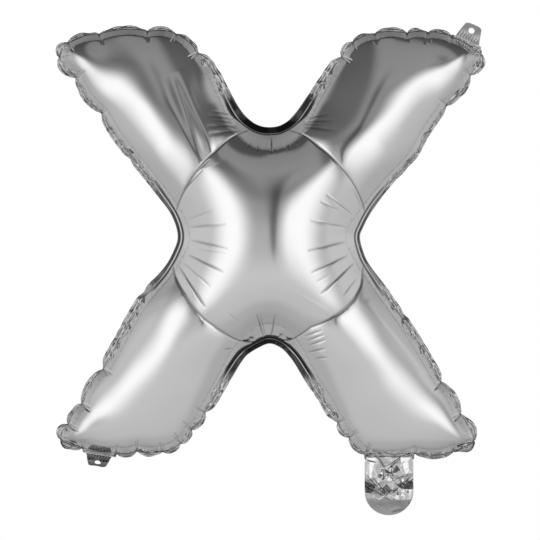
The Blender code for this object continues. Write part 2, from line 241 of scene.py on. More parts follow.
# The notches' bands: where, how wide in millimetres, and how much shade is painted on them
CROTCH_BANDS = (
    (CROTCH_TOP, 6.6, 1.0), (CROTCH_RIGHT, 3.2, 0.75), (CROTCH_BOTTOM, 4.8, 1.0), (CROTCH_LEFT, 3.3, 0.9),
)
LEAN = 0.50
LEAN_UNEVEN = 0.45
LIP = 0.22 * MM
BEAD = 0.22 * MM
# The folds along a petal: how far out each lies, and its height as a share of the width
PETAL_FOLDS = ((0.0, 0.0), (0.20, -0.11), (0.40, 0.09), (0.58, -0.12), (0.80, 0.09), (1.0, -0.05))
PETAL_GRAIN = 0.11 * MM

# Where the tabs and the tail leave the border, and the tabs' tilts, which are negative towards the front
SEAT_REACH = 15.6 * MM
TAB_BASES = (((150.5, 165.5), (173.5, 155.5)), ((-126.5, -181.0), (-153.0, -177.0)))
TAB_TILTS = (math.radians(-20), math.radians(-48))
TAIL_AXIS = (98.0 * MM, 0.0, -183.0 * MM)
TAIL_ROOT_WIDTH = 37.0 * MM

# The hanging tabs
TAB_RINGS, TAB_SPOKES = ((16, 120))
TAB_BASE = 21.0 * MM
TAB_TOP = 13.0 * MM
TAB_RISE = 15.5 * MM
TAB_CORNER = 3.5 * MM
TAB_HOLE_RISE = 9.5 * MM
TAB_HOLE_RADIUS = 2.5 * MM
TAB_CURL = 1.6 * MM
TAB_CRINKLE = 1.5 * MM
# Painted shade along the tab's crinkles
TAB_CRINKLE_SHADE = 0.7
TAB_UNEVEN = 0.16 * MM

# The inflation tail
TAIL_CELLS = ((120, 150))
TAIL_WIDTH = 40.0 * MM
TAIL_LENGTH = 45.8 * MM
TAIL_ROOT_LAP = 2.6 * MM
TAIL_NECK = 4.8 * MM
TAIL_PLY = 0.9 * MM
# The crumpled tail is drawn as flat facets between these: the photograph's pixels, and millimetres forwards
TAIL_KNOTS = (
    (362, 452, 0.8), (368, 454, 1.4), (372, 454, 1.6), (377, 454, 2.6), (384, 453, 4.2),
    (391, 454, 3.0), (398, 454, 2.2), (405, 454, 1.8), (414, 452, 0.8), (376, 459.5, 2.2),
    (380, 464, 1.1), (397, 460, 2.0), (390.5, 464.5, 0.9), (384.5, 468.5, -0.8), (366, 462, 0.2),
    (362, 472, -0.3), (378, 477, 1.6), (373, 468, 1.4), (383, 474, 0.2), (385.5, 473, 1.4),
    (388, 476, 0.0), (382, 480, 1.7), (387, 480.5, 0.6), (396, 464, -0.4), (392, 474, 2.6),
    (401, 471, 2.2), (402, 463, 1.4), (413, 461, 0.1), (414, 473, 0.0), (405, 474, 1.2),
    (396, 478, 0.6), (400, 476, 1.3), (394, 482, 1.1), (414, 477, -2.2), (403, 478, -1.0),
    (400, 482, -0.9), (414, 489, 2.2), (402, 489, 2.4), (407, 484, 0.2), (360, 479, -2.4),
    (372, 483, -1.2), (379, 489, 0.4), (360, 493, 2.4), (371, 493.5, 2.7), (386, 496, 3.0),
    (369, 479, 0.8), (376, 485, 1.0), (381, 485, -0.4), (387, 484, -0.7), (397, 484, -0.4),
    (392, 491, 1.6), (398, 490, 1.0), (413, 499, 2.0), (399, 500, 2.4), (393, 500, 1.6),
    (387, 503, 0.4), (377, 501, 1.2), (371, 498, 2.0), (375, 507, -1.4), (362, 503, 0.4),
    (382, 508, -1.7), (388, 511, -2.7), (396, 506, -1.4), (404, 505, -0.4), (407, 509, -1.9),
    (414, 506, -0.8), (370, 516, -4.2), (392, 519, -5.2), (412, 516, -4.4),
)
# Thin creases in the tail, as pairs of the photograph's pixels, with shade painted along them
TAIL_LINES = (
    ((366, 460), (376, 462)), ((373, 450), (384, 468)), ((378, 456), (385, 468)),
    ((405, 453), (388, 466)), ((396, 461), (386, 470)), ((400, 458), (390, 468)),
    ((384, 468), (383, 480)), ((388, 468), (388, 478)), ((391, 468), (393, 477)),
    ((364, 473), (386.5, 496)), ((366, 479), (380, 491)), ((372, 477), (384, 490)),
    ((411, 476), (388, 496)), ((404, 476), (394, 480)), ((399, 478), (404, 486)),
    ((394, 482), (402, 488)), ((384, 497), (390, 501)), ((392, 498), (402, 503)),
    ((374, 499), (379, 501)), ((366, 486), (385, 496)), ((408, 501), (409, 505)),
    ((402, 508), (407, 505)), ((392, 513), (398, 511)), ((378, 504), (382, 507)),
)
# Their half width in millimetres, and how deep they are
TAIL_LINE_WIDTH = 0.42
TAIL_LINE_DEPTH = 0.35 * MM
# Painted shadows on the tail: two of the photograph's pixels, the half width in millimetres, and how dark
TAIL_SHADOWS = (
    ((360, 483), (383, 495), 3.4, 0.8), ((403, 481), (414, 487), 2.8, 0.7),
    ((364, 503), (412, 503), 6.5, 0.38), ((391, 512.5), (406, 508), 1.6, 0.6),
    ((361, 496), (374, 509), 2.4, 0.35), ((380, 489), (396, 492), 3.0, 0.25),
)
# The small crumples between the facets: their height in millimetres, their spacing in pixels, their jitter
TAIL_CRUMPLE = 0.26
CRUMPLE_SPACING = 3.4
CRUMPLE_JITTER = 1.4

# The dark grey that painted shade mixes into the foil's base colour, and the grain of its surface
PAINTED_SHADE_GREY = 0.06
GRAIN_SCALE = 900.0
GRAIN_DEPTH = 0.05 * MM

# The studio's brightness by height in degrees: towards the camera, to the sides, and behind the balloon
AHEAD_LEVELS = (
    (-90, 0.33), (-60, 0.37), (-45, 0.44), (-30, 0.55), (-12, 0.60), (0, 0.46), (8, 0.32), (16, 0.20),
    (26, 0.13), (42, 0.10), (58, 0.075), (90, 0.06),
)
SIDE_LEVELS = (
    (-90, 0.33), (-60, 0.38), (-36, 0.44), (-12, 0.52), (2, 0.59), (14, 0.57), (26, 0.46), (38, 0.36),
    (50, 0.27), (62, 0.14), (90, 0.07),
)
BEHIND_LEVELS = (
    (-90, 0.34), (-68, 0.43), (-48, 0.39), (-15, 0.50), (8, 0.58), (24, 0.46), (38, 0.31), (60, 0.26),
    (78, 0.20), (90, 0.08),
)
# The two soft panels, in degrees of turn: where each starts, fully shines, fades and ends. Their upper edges
# rise, and the lower edge falls, by so much for each degree away from the panels' inner end
PANEL_LIGHT = 1.08
PANEL_INNER = 8.0
LEFT_PANEL = ((-44, -22), (-18, -5))
RIGHT_PANEL = ((2.5, 9), (16, 37))
LEFT_PANEL_TOP = (0.5, 20, 2)
RIGHT_PANEL_TOP = (0.8, 18, 3)
PANEL_BOTTOM = (0.5, -17, 4)
# The faint leaning column above them: its turn, its height, and how it leans
COLUMN_LIGHT = 0.15
COLUMN_TURN = ((-15, -6), (3, 12))
COLUMN_HEIGHT = ((12, 24), (56, 70))
COLUMN_MIDDLE = 42.0
COLUMN_LEAN = 0.32
# The dark slit between them, which ends in a point at its foot
SLIT_DARK = 0.24
SLIT_TURN = ((-1.8, 1.4), (2.9, 3.4))
SLIT_MIDDLE = 2.2
SLIT_POINT = 4.0
SLIT_FOOT = (-9, -3)
SLIT_HEAD = (32, 15)

FLOOR_RADIUS = 3.0
FLOOR_SIDES = 96
FLOOR_LEVEL = -0.62


def metres(points):
    """Points written in millimetres, as an array in metres."""
    return np.array(points, dtype=float) * MM


def from_pixels(points):
    """Points read in the photograph's 540 by 540 frame, as metres across and up on the plane of the weld."""
    pixels = np.array(points, dtype=float)
    return np.column_stack([pixels[:, 0] - ORIGIN_PIXEL[0], ORIGIN_PIXEL[1] - pixels[:, 1]]) * PIXEL


def spline_through(points, step, before=None, after=None):
    """A Catmull-Rom curve through the points, sampled about a step apart. It may head for two more points."""
    before = 2 * points[0] - points[1] if before is None else before
    after = 2 * points[-1] - points[-2] if after is None else after
    padded = np.vstack([before, points, after])
    samples = []
    for previous, start, end, following in zip(padded, padded[1:], padded[2:], padded[3:]):
        count = max(1, round(np.linalg.norm(end - start) / step))
        for t in np.arange(count) / count:
            bend = 2 * previous - 5 * start + 4 * end - following
            twist = 3 * (start - end) + following - previous
            samples.append(0.5 * (2 * start + (end - previous) * t + bend * t * t + twist * t ** 3))
    samples.append(points[-1])
    return np.array(samples)


def lobe_base(start, end):
    """The weld between two pinches: a shallow arc that bulges away from the arm."""
    chord = end - start
    outward = np.array([-chord[1], chord[0]])
    count = max(2, round(np.linalg.norm(chord) / WELD_STEP))
    t = (np.arange(1, count + 1) / count)[:, None]
    return start + chord * t + outward * (4 * LOBE_BULGE * t * (1 - t))


def neighbour(name, steps):
    """The name of the arm so many places on, clockwise."""
    return ARM_ORDER[(ARM_ORDER.index(name) + steps) % len(ARM_ORDER)]


def arm_weld(name):
    """One arm's weld from crotch to crotch."""
    arm, previous, following = ARMS[name], ARMS[neighbour(name, -1)], ARMS[neighbour(name, 1)]
    pinches = metres(arm["pinches"])
    going_out = metres((arm["start"],) + arm["side_out"] + arm["pinches"][:1])
    side_out = spline_through(going_out, WELD_STEP, before=metres(previous["side_back"][-1]))
    coming_back = metres(arm["pinches"][-1:] + arm["side_back"] + (following["start"],))
    side_back = spline_through(coming_back, WELD_STEP, after=metres(following["side_out"][0]))
    lobes = [lobe_base(start, end) for start, end in zip(pinches, pinches[1:])]
    return np.vstack([side_out] + lobes + [side_back[1:]])


def weld_loop():
    """The whole weld, clockwise, with no point twice."""
    return np.vstack([arm_weld(name)[:-1] for name in ARM_ORDER])


def closed(loop):
    """A loop with its first point once more at its end."""
    return np.vstack([loop, loop[:1]])


def loop_length(loop):
    """The length all round a loop."""
    return np.linalg.norm(np.diff(closed(loop), axis=0), axis=1).sum()


def spread(curve, places):
    """Points on a curve at fractions of its length."""
    lengths = run_of(curve)
    return np.column_stack([np.interp(places, lengths, curve[:, axis]) for axis in (0, 1)])


def run_of(curve):
    """How far along a curve each of its points lies, as a fraction."""
    lengths = np.concatenate([[0.0], np.cumsum(np.linalg.norm(np.diff(curve, axis=0), axis=1))])
    return lengths / lengths[-1]


def across_places(count):
    """Fractions across an arm that crowd a little towards both edges."""
    even = np.arange(count + 1) / count
    return 0.3 * (1 - np.cos(np.pi * even)) / 2 + 0.7 * even


def along_places(count):
    """Fractions from the crease to the arm's end that crowd towards the end."""
    even = np.arange(count + 1) / count
    return 0.5 * np.sin(np.pi / 2 * even) + 0.5 * even


def arm_marks(name):
    """One arm's weld, and where on it lie the crease's start, the two corners and the crease's end."""
    weld = arm_weld(name)
    arm = ARMS[name]
    places = metres((arm["crease"][0],) + arm["corners"] + (arm["crease"][1],))
    return weld, [int(np.argmin(np.linalg.norm(weld - place, axis=1))) for place in places]


def outline(across, along, crotch):
    """The weld as an even loop: for each arm its side, end and side, and the crotch that follows."""
    points = []
    for name in ARM_ORDER:
        weld, (start, first, second, end) = arm_marks(name)
        next_weld, next_marks = arm_marks(neighbour(name, 1))
        bend = np.vstack([weld[end:], next_weld[1:next_marks[0] + 1]])
        points.append(spread(weld[start:first + 1], along_places(along))[:-1])
        points.append(spread(weld[first:second + 1], across_places(across))[:-1])
        points.append(spread(weld[second:end + 1], 1 - along_places(along)[::-1])[:-1])
        points.append(spread(bend, np.linspace(0, 1, crotch + 1))[:-1])
    return np.vstack(points)


def march_inward(loop, depth):
    """Move a clockwise loop inwards by a depth, in small steps that keep it smooth."""
    count = max(1, round(depth / MARCH_STEP))
    for _ in range(count):
        along = np.roll(loop, -1, axis=0) - np.roll(loop, 1, axis=0)
        inward = np.column_stack([along[:, 1], -along[:, 0]])
        loop = loop + inward / np.linalg.norm(inward, axis=1)[:, None] * (depth / count)
        loop = loop + MARCH_EASE * ((np.roll(loop, -1, axis=0) + np.roll(loop, 1, axis=0)) / 2 - loop)
    return loop


def crease_arc(start, end, places):
    """A crease between two points of the edge, on a circle round the crossing that eases to both."""
    angles = [math.atan2(point[1], point[0]) for point in (start, end)]
    turn = (angles[1] - angles[0] + math.pi) % (2 * math.pi) - math.pi
    radius = CREASE_RADIUS + (np.linalg.norm(start) - CREASE_RADIUS) * (1 - places) ** 2
    radius += (np.linalg.norm(end) - CREASE_RADIUS) * places ** 2
    angle = angles[0] + turn * places
    return np.column_stack([radius * np.cos(angle), radius * np.sin(angle)])


def patch(near, far, left, right):
    """A grid of points between four edge curves, which meet at its corners."""
    u = ((run_of(near) + run_of(far)) / 2)[None, :, None]
    v = ((run_of(left) + run_of(right)) / 2)[:, None, None]
    ruled_v = near[None] * (1 - v) + far[None] * v
    ruled_u = left[:, None] * (1 - u) + right[:, None] * u
    corners = (near[0] * (1 - u) + near[-1] * u) * (1 - v) + (far[0] * (1 - u) + far[-1] * u) * v
    return ruled_v + ruled_u - corners


def inner_patches(ring, across, along, crotch):
    """The five grids inside a ring of points: the four arms and the middle pillow."""
    stride = 2 * along + across + crotch
    grids, creases, bends = [], [], []
    for k in range(len(ARM_ORDER)):
        loop = np.roll(ring, -k * stride, axis=0)
        side_out, end = loop[:along + 1], loop[along:along + across + 1]
        side_back = loop[along + across:2 * along + across + 1]
        crease = crease_arc(side_out[0], side_back[-1], across_places(across))
        grids.append(patch(crease, end, side_out, side_back[::-1]))
        creases.append(crease)
        bends.append(closed(loop)[2 * along + across:stride + 1])
    half = across // 2
    sides = []
    for k in range(len(ARM_ORDER)):
        following = creases[(k + 1) % len(creases)]
        sides.append(np.vstack([creases[k][half:], bends[k][1:-1], following[:half + 1]]))
    right, bottom, left, top = sides
    grids.append(patch(top, bottom[::-1], left[::-1], right))
    return grids


def join_grids(grids):
    """Join grids along their shared edges: flat points, and the quads between them, facing the front."""
    points, quads, offset = [], [], 0
    for grid in grids:
        rows, columns = grid.shape[:2]
        index = np.arange(rows * columns).reshape(rows, columns) + offset
        cells = np.stack([index[:-1, :-1], index[:-1, 1:], index[1:, 1:], index[1:, :-1]], axis=-1)
        cells = cells.reshape(-1, 4)
        across = grid[:-1, 1:] - grid[:-1, :-1]
        along = grid[1:, :-1] - grid[:-1, :-1]
        turn = (across[..., 0] * along[..., 1] - across[..., 1] * along[..., 0]).sum()
        quads.append(cells if turn > 0 else cells[:, ::-1])
        points.append(grid.reshape(-1, 2))
        offset += rows * columns
    points = np.vstack(points)
    keys = np.round(points / (2e-3 * MM)).astype(np.int64)
    _, first, inverse = np.unique(keys, axis=0, return_index=True, return_inverse=True)
    return points[first], inverse.reshape(-1)[np.vstack(quads)]


def unfold(points, quads, rim):
    """Ease the grid wherever its cells are folded over, most of all in the letter's sharp corners."""
    starts, ends = quads.reshape(-1), np.roll(quads, -1, axis=1).reshape(-1)
    links = np.bincount(starts, minlength=len(points)) + np.bincount(ends, minlength=len(points))
    for _ in range(30):
        corners = points[quads]
        ahead, behind = np.roll(corners, -1, axis=1) - corners, np.roll(corners, 1, axis=1) - corners
        turns = ahead[..., 0] * behind[..., 1] - ahead[..., 1] * behind[..., 0]
        folded = (turns < FOLD_LIMIT).any(axis=1)
        if not folded.any():
            break
        near = np.zeros(len(points), dtype=bool)
        near[quads[folded].reshape(-1)] = True
        for _ in range(6):
            near[quads[near[quads].any(axis=1)].reshape(-1)] = True
        near &= ~rim
        for _ in range(40):
            total = np.column_stack([neighbour_sum(starts, ends, points[:, axis]) for axis in (0, 1)])
            points = np.where(near[:, None], total / links[:, None], points)
    return points


def neighbour_sum(starts, ends, values):
    """The sum of the values at the far ends of each point's links."""
    count = len(values)
    return np.bincount(starts, values[ends], count) + np.bincount(ends, values[starts], count)


def refine(points, quads, is_fine):
    """Halve the cells where folds need it, and split every cell into triangles."""
    mesh = bmesh.new()
    corners = [mesh.verts.new((x, 0.0, z)) for x, z in points]
    centres = points[quads].mean(axis=1)
    fine_edges = set()
    for quad, fine in zip(quads.tolist(), is_fine(centres)):
        face = mesh.faces.new([corners[k] for k in quad])
        if fine:
            fine_edges.update(face.edges)
    bmesh.ops.subdivide_edges(mesh, edges=sorted(fine_edges, key=edge_order), cuts=1, use_grid_fill=True)
    bmesh.ops.triangulate(mesh, faces=mesh.faces)
    mesh.verts.index_update()
    flat = np.array([(vertex.co.x, vertex.co.z) for vertex in mesh.verts])
    triangles = np.array([[vertex.index for vertex in face.verts] for face in mesh.faces])
    mesh.free()
    return flat, triangles


def edge_order(link):
    """A lasting order of edges, so that each run gives the same mesh."""
    return tuple(round(value, 7) for value in (*link.verts[0].co, *link.verts[1].co))


def membrane(points, triangles, rim):
    """The root of the sag of a membrane held at its rim under even pressure, by conjugate gradients."""
    count = len(points)
    starts, ends, weights = [], [], []
    load = np.zeros(count)
    for k in range(3):
        a, b, c = (triangles[:, (k + shift) % 3] for shift in range(3))
        arm_a, arm_b = points[a] - points[c], points[b] - points[c]
        area = np.abs(arm_a[:, 0] * arm_b[:, 1] - arm_a[:, 1] * arm_b[:, 0])
        starts.append(a)
        ends.append(b)
        weights.append((arm_a * arm_b).sum(axis=1) / area / 2)
        load += np.bincount(a, area / 6, count)
    starts, ends, weights = np.concatenate(starts), np.concatenate(ends), np.concatenate(weights)
    diagonal = np.bincount(starts, weights, count) + np.bincount(ends, weights, count)
    free = ~rim

    def stiffness(values):
        pulls = np.bincount(starts, weights * values[ends], count)
        pulls = pulls + np.bincount(ends, weights * values[starts], count)
        return (diagonal * values - pulls) * free

    values = np.zeros(count)
    residual = load * free
    scaled = residual / diagonal
    step = scaled.copy()
    energy = residual @ scaled
    goal = energy * 1e-12
    for _ in range(3000):
        pushed = stiffness(step)
        stride = energy / (step @ pushed)
        values += stride * step
        residual -= stride * pushed
        scaled = residual / diagonal
        fresh = residual @ scaled
        if fresh < goal:
            break
        step = scaled + step * (fresh / energy)
        energy = fresh
    return np.sqrt(np.maximum(values, 0))


def nearest_on_loop(points, loop):
    """Each point's distance to a closed loop, and how far round the loop its nearest place is."""
    following = np.roll(loop, -1, axis=0)
    lengths = np.linalg.norm(following - loop, axis=1)
    starts = np.concatenate([[0.0], np.cumsum(lengths)[:-1]])
    distances = np.empty(len(points))
    places = np.empty(len(points))
    for low in range(0, len(points), 4000):
        block = points[low:low + 4000]
        nearest = np.argmin(((block[:, None] - loop[None]) ** 2).sum(axis=2), axis=1)
        best = np.full(len(block), np.inf)
        place = np.zeros(len(block))
        for shift in (-1, 0):
            index = (nearest + shift) % len(loop)
            chord = following[index] - loop[index]
            t = np.clip(((block - loop[index]) * chord).sum(axis=1) / lengths[index] ** 2, 0, 1)
            gap = np.linalg.norm(block - loop[index] - chord * t[:, None], axis=1)
            closer = gap < best
            best = np.where(closer, gap, best)
            place = np.where(closer, starts[index] + t * lengths[index], place)
        distances[low:low + 4000] = best
        places[low:low + 4000] = place
    return distances, places


def smooth_step(values, low, high):
    """0 at low, 1 at high, smooth between, whichever of the two is the larger."""
    t = np.clip((values - low) / (high - low), 0, 1)
    return t * t * (3 - 2 * t)


def line_groove(points, start, end, half_width, taper):
    """The depth, from 0 to 1, of a groove along a line. The taper gives it at fractions of the length."""
    run = end - start
    length = np.linalg.norm(run)
    t = ((points - start) @ run) / length ** 2
    aside = np.abs((points - start) @ np.array([-run[1], run[0]])) / length
    inside = (t > 0) & (t < 1)
    return np.where(inside, taper(np.clip(t, 0, 1)) * np.exp(-(aside / half_width) ** 2), 0.0)


def photo_groove(points, start, end, half_width, taper):
    """A groove between two of the photograph's pixels, with its half width in millimetres."""
    start, end = from_pixels((start, end))
    return line_groove(points, start, end, half_width * MM, taper)


def arch(power):
    """A taper that is deepest at the middle of a line and runs out at both ends."""
    return lambda t: np.sin(np.pi * t) ** power


def inward_normals(loop):
    """Unit normals of a clockwise loop, pointing in."""
    along = np.roll(loop, -3, axis=0) - np.roll(loop, 3, axis=0)
    normals = np.column_stack([along[:, 1], -along[:, 0]])
    return normals / np.linalg.norm(normals, axis=1)[:, None]


class Film:
    """The flat grid of one foil sheet and what its height is worked out from."""

    def __init__(self, across, along, crotch):
        rings = [outline(across, along, crotch)]
        for nearer, farther in zip((0.0,) + RINGS, RINGS):
            rings.append(march_inward(rings[-1], (farther - nearer) * MM))
        band = np.stack([closed(ring) for ring in rings])
        points, quads = join_grids([band] + inner_patches(rings[-1], across, along, crotch))
        points = unfold(points, quads, rim_of(len(points), quads))
        self.points, self.faces = refine(points, quads, near_folds)
        self.rim = rim_of(len(self.points), self.faces)
        self.loop = weld_loop()
        self.distance, self.place = nearest_on_loop(self.points, self.loop)
        self.apart = np.hypot(self.points[:, 0], self.points[:, 1])
        swell = BODY_SWELL + (END_SWELL - BODY_SWELL) * smooth_step(self.apart, TAPER_FROM, TAPER_TO)
        self.rise = swell * arm_lean(self.points) * membrane(self.points, self.faces, self.rim)
        for tip in metres(TIPS):
            self.rise *= 1 + TIP_SWELL * self.near(tip, TIP_REACH)

    def near(self, place, reach):
        """1 at a place, fading with distance over the reach."""
        return np.exp(-(self.gap(place) / reach) ** 2)

    def gap(self, place):
        """Each point's distance to a place."""
        return np.linalg.norm(self.points - place, axis=1)

    def ragged(self, seed, wavelength):
        """Uneven waves along the weld, between about -1 and 1."""
        return noise_line(np.random.default_rng(seed), self.place, loop_length(self.loop), wavelength)


def outward_side(name):
    """The direction along an arm, and the one across it that points to the left or right notch's side."""
    end = metres(ARMS[name]["corners"]).mean(axis=0)
    run = end / np.linalg.norm(end)
    return run, np.array([abs(run[1]) * np.sign(run[0]), -abs(run[0]) * np.sign(run[1])])


def on_arm(points, run):
    """Which points lie in an arm's quarter of the letter."""
    return (points[:, 0] * run[0] > 0) & (points[:, 1] * run[1] > 0)


def arm_lean(points):
    """How much higher each arm stands towards its outer side than towards the notches above and below."""
    lean = np.ones(len(points))
    apart = np.hypot(points[:, 0], points[:, 1])
    for name, more in ARM_LEANS.items():
        run, outward = outward_side(name)
        place = np.clip(points @ outward / ARM_HALF_WIDTH, -1, 1)
        leaning = 1 + more * place * smooth_step(apart, *ARM_LEAN_FROM)
        lean = np.where(on_arm(points, run), leaning, lean)
    return lean


def rim_of(count, faces):
    """Which points lie on the open edge of the grid."""
    corners = faces.shape[1]
    edges = np.sort(np.vstack([faces[:, [k, (k + 1) % corners]] for k in range(corners)]), axis=1)
    keys, uses = np.unique(edges, axis=0, return_counts=True)
    rim = np.zeros(count, dtype=bool)
    rim[keys[uses == 1].reshape(-1)] = True
    return rim


def strip_width(film):
    """How wide the straight strip beside the weld is, wider at the crotches and ragged."""
    width = np.full(len(film.points), STRIP_WIDTH)
    for crotch, wider, reach in CROTCH_STRIPS:
        width += wider * MM * film.near(metres(crotch), reach * MM)
    return width * (1 + STRIP_RAGGED * film.ragged(17, 2.6 * MM))


def strip_profile(film):
    """The rise with its edge flattened into a straight, steep strip beside the weld."""
    share = film.distance / strip_width(film)
    softness = STRIP_SOFTNESS + STRIP_SOFTNESS_TOP * film.near(metres(CROTCH_TOP), 26 * MM)
    eased = 0.5 * (share + 1 - np.sqrt((share - 1) ** 2 + softness ** 2))
    dip = STRIP_DIP_BOTTOM * film.near(metres(CROTCH_BOTTOM), 24 * MM)
    return film.rise * np.sqrt(np.clip(eased, 0, 1)) * (1 - dip)


def crease_aside(points):
    """How far outside the ring of creases each point lies."""
    ring = from_pixels(CREASES)
    bearings = np.arctan2(ring[:, 0], ring[:, 1]) % (2 * math.pi)
    order = np.argsort(bearings)
    bearing = np.arctan2(points[:, 0], points[:, 1]) % (2 * math.pi)
    reach = np.interp(bearing, bearings[order], np.linalg.norm(ring, axis=1)[order], period=2 * math.pi)
    return np.linalg.norm(points, axis=1) - reach


def crease_depth(film):
    """The valley and the fine line of the four creases round the crossing."""
    aside = crease_aside(film.points)
    soft = np.where(aside < 0, CREASE_SOFT_INSIDE, CREASE_SOFT_OUTSIDE)
    valley = CREASE_KINK * np.exp((CREASE_ROUND - np.sqrt(aside ** 2 + CREASE_ROUND ** 2)) / soft)
    line = CREASE_LINE * np.exp(-(aside / CREASE_LINE_WIDTH) ** 2)
    return (valley + line) * smooth_step(film.distance, 0, 6 * MM)


def pinch_lines(film):
    """The paired short creases that run in from each pinch: their depth, and the shade painted along them."""
    depth = np.zeros(len(film.points))
    shade = np.zeros(len(film.points))
    normals = inward_normals(film.loop)
    generator = np.random.default_rng(7)
    for name in ARM_ORDER:
        for pinch in metres(ARMS[name]["pinches"]):
            inward = normals[np.argmin(np.linalg.norm(film.loop - pinch, axis=1))]
            aside = np.array([-inward[1], inward[0]])
            near = film.gap(pinch) < PINCH_REACH
            for side in (-1, 1):
                length = PINCH_LENGTH * generator.uniform(0.7, 1.35)
                end = pinch + inward * length + aside * side * PINCH_SPLIT * generator.uniform(0.4, 1.3)
                start = pinch - inward * MM + aside * side * 0.2 * MM
                points = film.points[near]
                groove = line_groove(points, start, end, PINCH_HALF_WIDTH, lambda t: (1 - t) ** 0.7)
                depth[near] = np.maximum(depth[near], PINCH_DEPTH * groove)
                line = line_groove(points, start, end, PINCH_SHADE_WIDTH, lambda t: (1 - t) ** 0.5)
                shade[near] = np.maximum(shade[near], PINCH_SHADE * line)
    return depth, shade


def fold_depth(film):
    """The folds, each deepest along its middle."""
    depth = np.zeros(len(film.points))
    for start, end, deep, half_width in FOLDS + COMBS:
        depth += deep * MM * photo_groove(film.points, start, end, half_width, arch(0.5))
    return depth


def painted_film_shade(film):
    """The shade painted on the film along its creases, folds and combs, at its tips, notch rims, strip edge
    and pinches: 0 for clean film to 1 in a crease.
    """
    shade = CREASE_SHADE * np.exp(-(crease_aside(film.points) / CREASE_SHADE_WIDTH) ** 2)
    for start, end, deep, half_width in FOLDS:
        if deep > 0 and half_width < WIDE_FOLD:
            line = photo_groove(film.points, start, end, PAINTED_DARK_FOLD_WIDTH * half_width, arch(0.7))
            shade = np.maximum(shade, min(1.0, deep / PAINTED_DARK_FOLD) * line)
    for start, end, _, half_width in COMBS:
        line = photo_groove(film.points, start, end, PAINTED_DARK_FOLD_WIDTH * half_width, comb_taper)
        shade = np.maximum(shade, COMB_SHADE * line)
    for tip in metres(TIPS):
        shade = np.maximum(shade, TIP_SHADE * film.near(tip, TIP_REACH))
    shade = shade * smooth_step(film.distance, 0, 4 * MM)
    for crotch in (CROTCH_TOP, CROTCH_BOTTOM):
        rim = smooth_step(film.distance, *NOTCH_RIM) * smooth_step(film.gap(metres(crotch)), *NOTCH_RIM_REACH)
        shade = np.maximum(shade, NOTCH_RIM_SHADE * rim)
    broken = np.clip(0.5 + 0.5 * film.ragged(18, 3.4 * MM), 0.25, 1)
    edge_line = np.exp(-((film.distance - strip_width(film) - 0.2 * MM) / (0.42 * MM)) ** 2)
    shade = np.maximum(shade, STRIP_EDGE_SHADE * broken * edge_line)
    return np.maximum(shade, pinch_lines(film)[1])


def comb_taper(t):
    """How much shade is painted along a comb's fold: most a little past its middle."""
    return np.clip(t * 1.6, 0, 1) * (1 - t) ** 0.3


def near_folds(points):
    """Where the grid has to be fine enough for folds and creases."""
    near = np.abs(crease_aside(points)) < 2.2 * MM
    for start, end, _, half_width in FOLDS + COMBS:
        if half_width > WIDE_FOLD:
            continue
        start, end = from_pixels((start, end))
        run = end - start
        t = np.clip(((points - start) @ run) / (run @ run), 0, 1)
        near |= np.linalg.norm(points - start - t[:, None] * run, axis=1) < FOLD_MARGIN * half_width * MM
    for name in ARM_ORDER:
        for pinch in metres(ARMS[name]["pinches"]):
            near |= np.linalg.norm(points - pinch, axis=1) < 9 * MM
    return near


def undulation(points, seed):
    """Long, slow unevenness of the film, as a few crossing waves."""
    generator = np.random.default_rng(seed)
    total = np.zeros(len(points))
    for _ in range(WAVE_COUNT):
        heading = generator.uniform(0, math.pi)
        wave = 2 * math.pi / (WAVE_LENGTH * generator.uniform(0.7, 1.6))
        phase = generator.uniform(0, 2 * math.pi)
        total += np.sin(points @ np.array([math.cos(heading), math.sin(heading)]) * wave + phase)
    return WAVE_HEIGHT * total / WAVE_COUNT


def mesh_object(name, vertices, faces, material):
    """A smooth mesh object with one material."""
    data = bpy.data.meshes.new(name)
    data.from_pydata(vertices.tolist(), [], faces.tolist())
    data.validate()
    data.shade_smooth()
    data.materials.append(material)
    thing = bpy.data.objects.new(name, data)
    bpy.context.scene.collection.objects.link(thing)
    return thing


def ring_faces(rows, columns):
    """The quads of a band of closed rings, from the first ring to the last."""
    index = np.arange(rows * columns).reshape(rows, columns)
    following = np.roll(index, -1, axis=1)
    return np.stack([index[:-1], following[:-1], following[1:], index[1:]], axis=-1).reshape(-1, 4)


def build_foil(name, side, cells, material):
    """One swollen sheet. The side is -1 for the front and 1 for the back."""
    film = Film(*cells)
    pinched = pinch_lines(film)[0] * smooth_step(film.distance, 0, 1.5 * MM)
    height = strip_profile(film) - crease_depth(film) - pinched
    height = height - fold_depth(film) * smooth_step(film.distance, 0, 4 * MM)
    slack = WAVE_SLACK + (1 - WAVE_SLACK) * smooth_step(film.apart, 45 * MM, 90 * MM)
    waves = undulation(film.points, 3 if side < 0 else 4)
    height = height + waves * smooth_step(film.distance, 0, 12 * MM) * slack
    height = np.maximum(height, 0) + 0.1 * MM
    vertices = np.column_stack([film.points[:, 0], side * height, film.points[:, 1]])
    faces = film.faces if side < 0 else film.faces[:, ::-1]
    foil = mesh_object(name, vertices, faces, material)
    shade_points(foil, painted_film_shade(film))
    return foil


def noise_line(generator, places, period, wavelength):
    """Uneven waves along a closed line of a given length, between about -1 and 1."""
    total = np.zeros(len(places))
    for share in (1.0, 0.62, 0.41, 1.7):
        turns = max(1, round(period / wavelength * share))
        total += np.sin(2 * math.pi * turns * places / period + generator.uniform(0, 2 * math.pi))
    return total / 2.5


def seat_edge(rim, first, last, margin):
    """Bring the border's rim to a straight seat between two points, where a tab or the tail leaves it."""
    start, end = np.array(first), np.array(last)
    length = np.linalg.norm(end - start)
    chord = (end - start) / length
    along = (rim - start) @ chord
    aside = np.abs((rim - start) @ np.array([-chord[1], chord[0]]))
    seated = (along > -margin) & (along < length + margin) & (aside < SEAT_REACH)
    return np.where(seated[:, None], start + along[:, None] * chord, rim), seated


